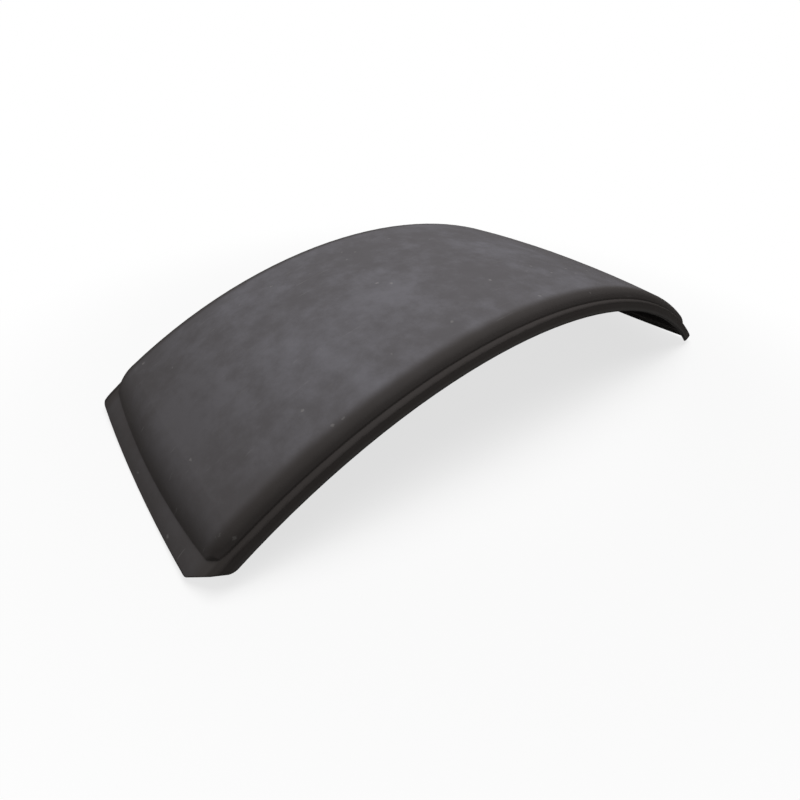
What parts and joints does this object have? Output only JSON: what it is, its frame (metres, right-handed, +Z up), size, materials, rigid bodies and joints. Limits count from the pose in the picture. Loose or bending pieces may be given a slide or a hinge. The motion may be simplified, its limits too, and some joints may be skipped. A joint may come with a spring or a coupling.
{
  "type": "mudguard",
  "caption": "Arched moulded plastic mudguard for a wheel: a raised, gently crowned cover with rounded shoulders, and a stepped rim with turned-down side lips, and one cut corner at each end, diagonally opposite.",
  "frame": {"origin": "middle of the underside's box: below the top of the arch, at the level of the end edges that it stands on", "axes": "+X along the arch, +Y across the guard, +Z up"},
  "size_m": [0.882, 0.36, 0.1818],
  "materials": {
    "guard_plastic": "satin, dusty and lightly scuffed, with a fine moulded grain"
  },
  "bodies": {
    "root": {"mudguard": "guard_plastic"}
  },
  "joints": []
}
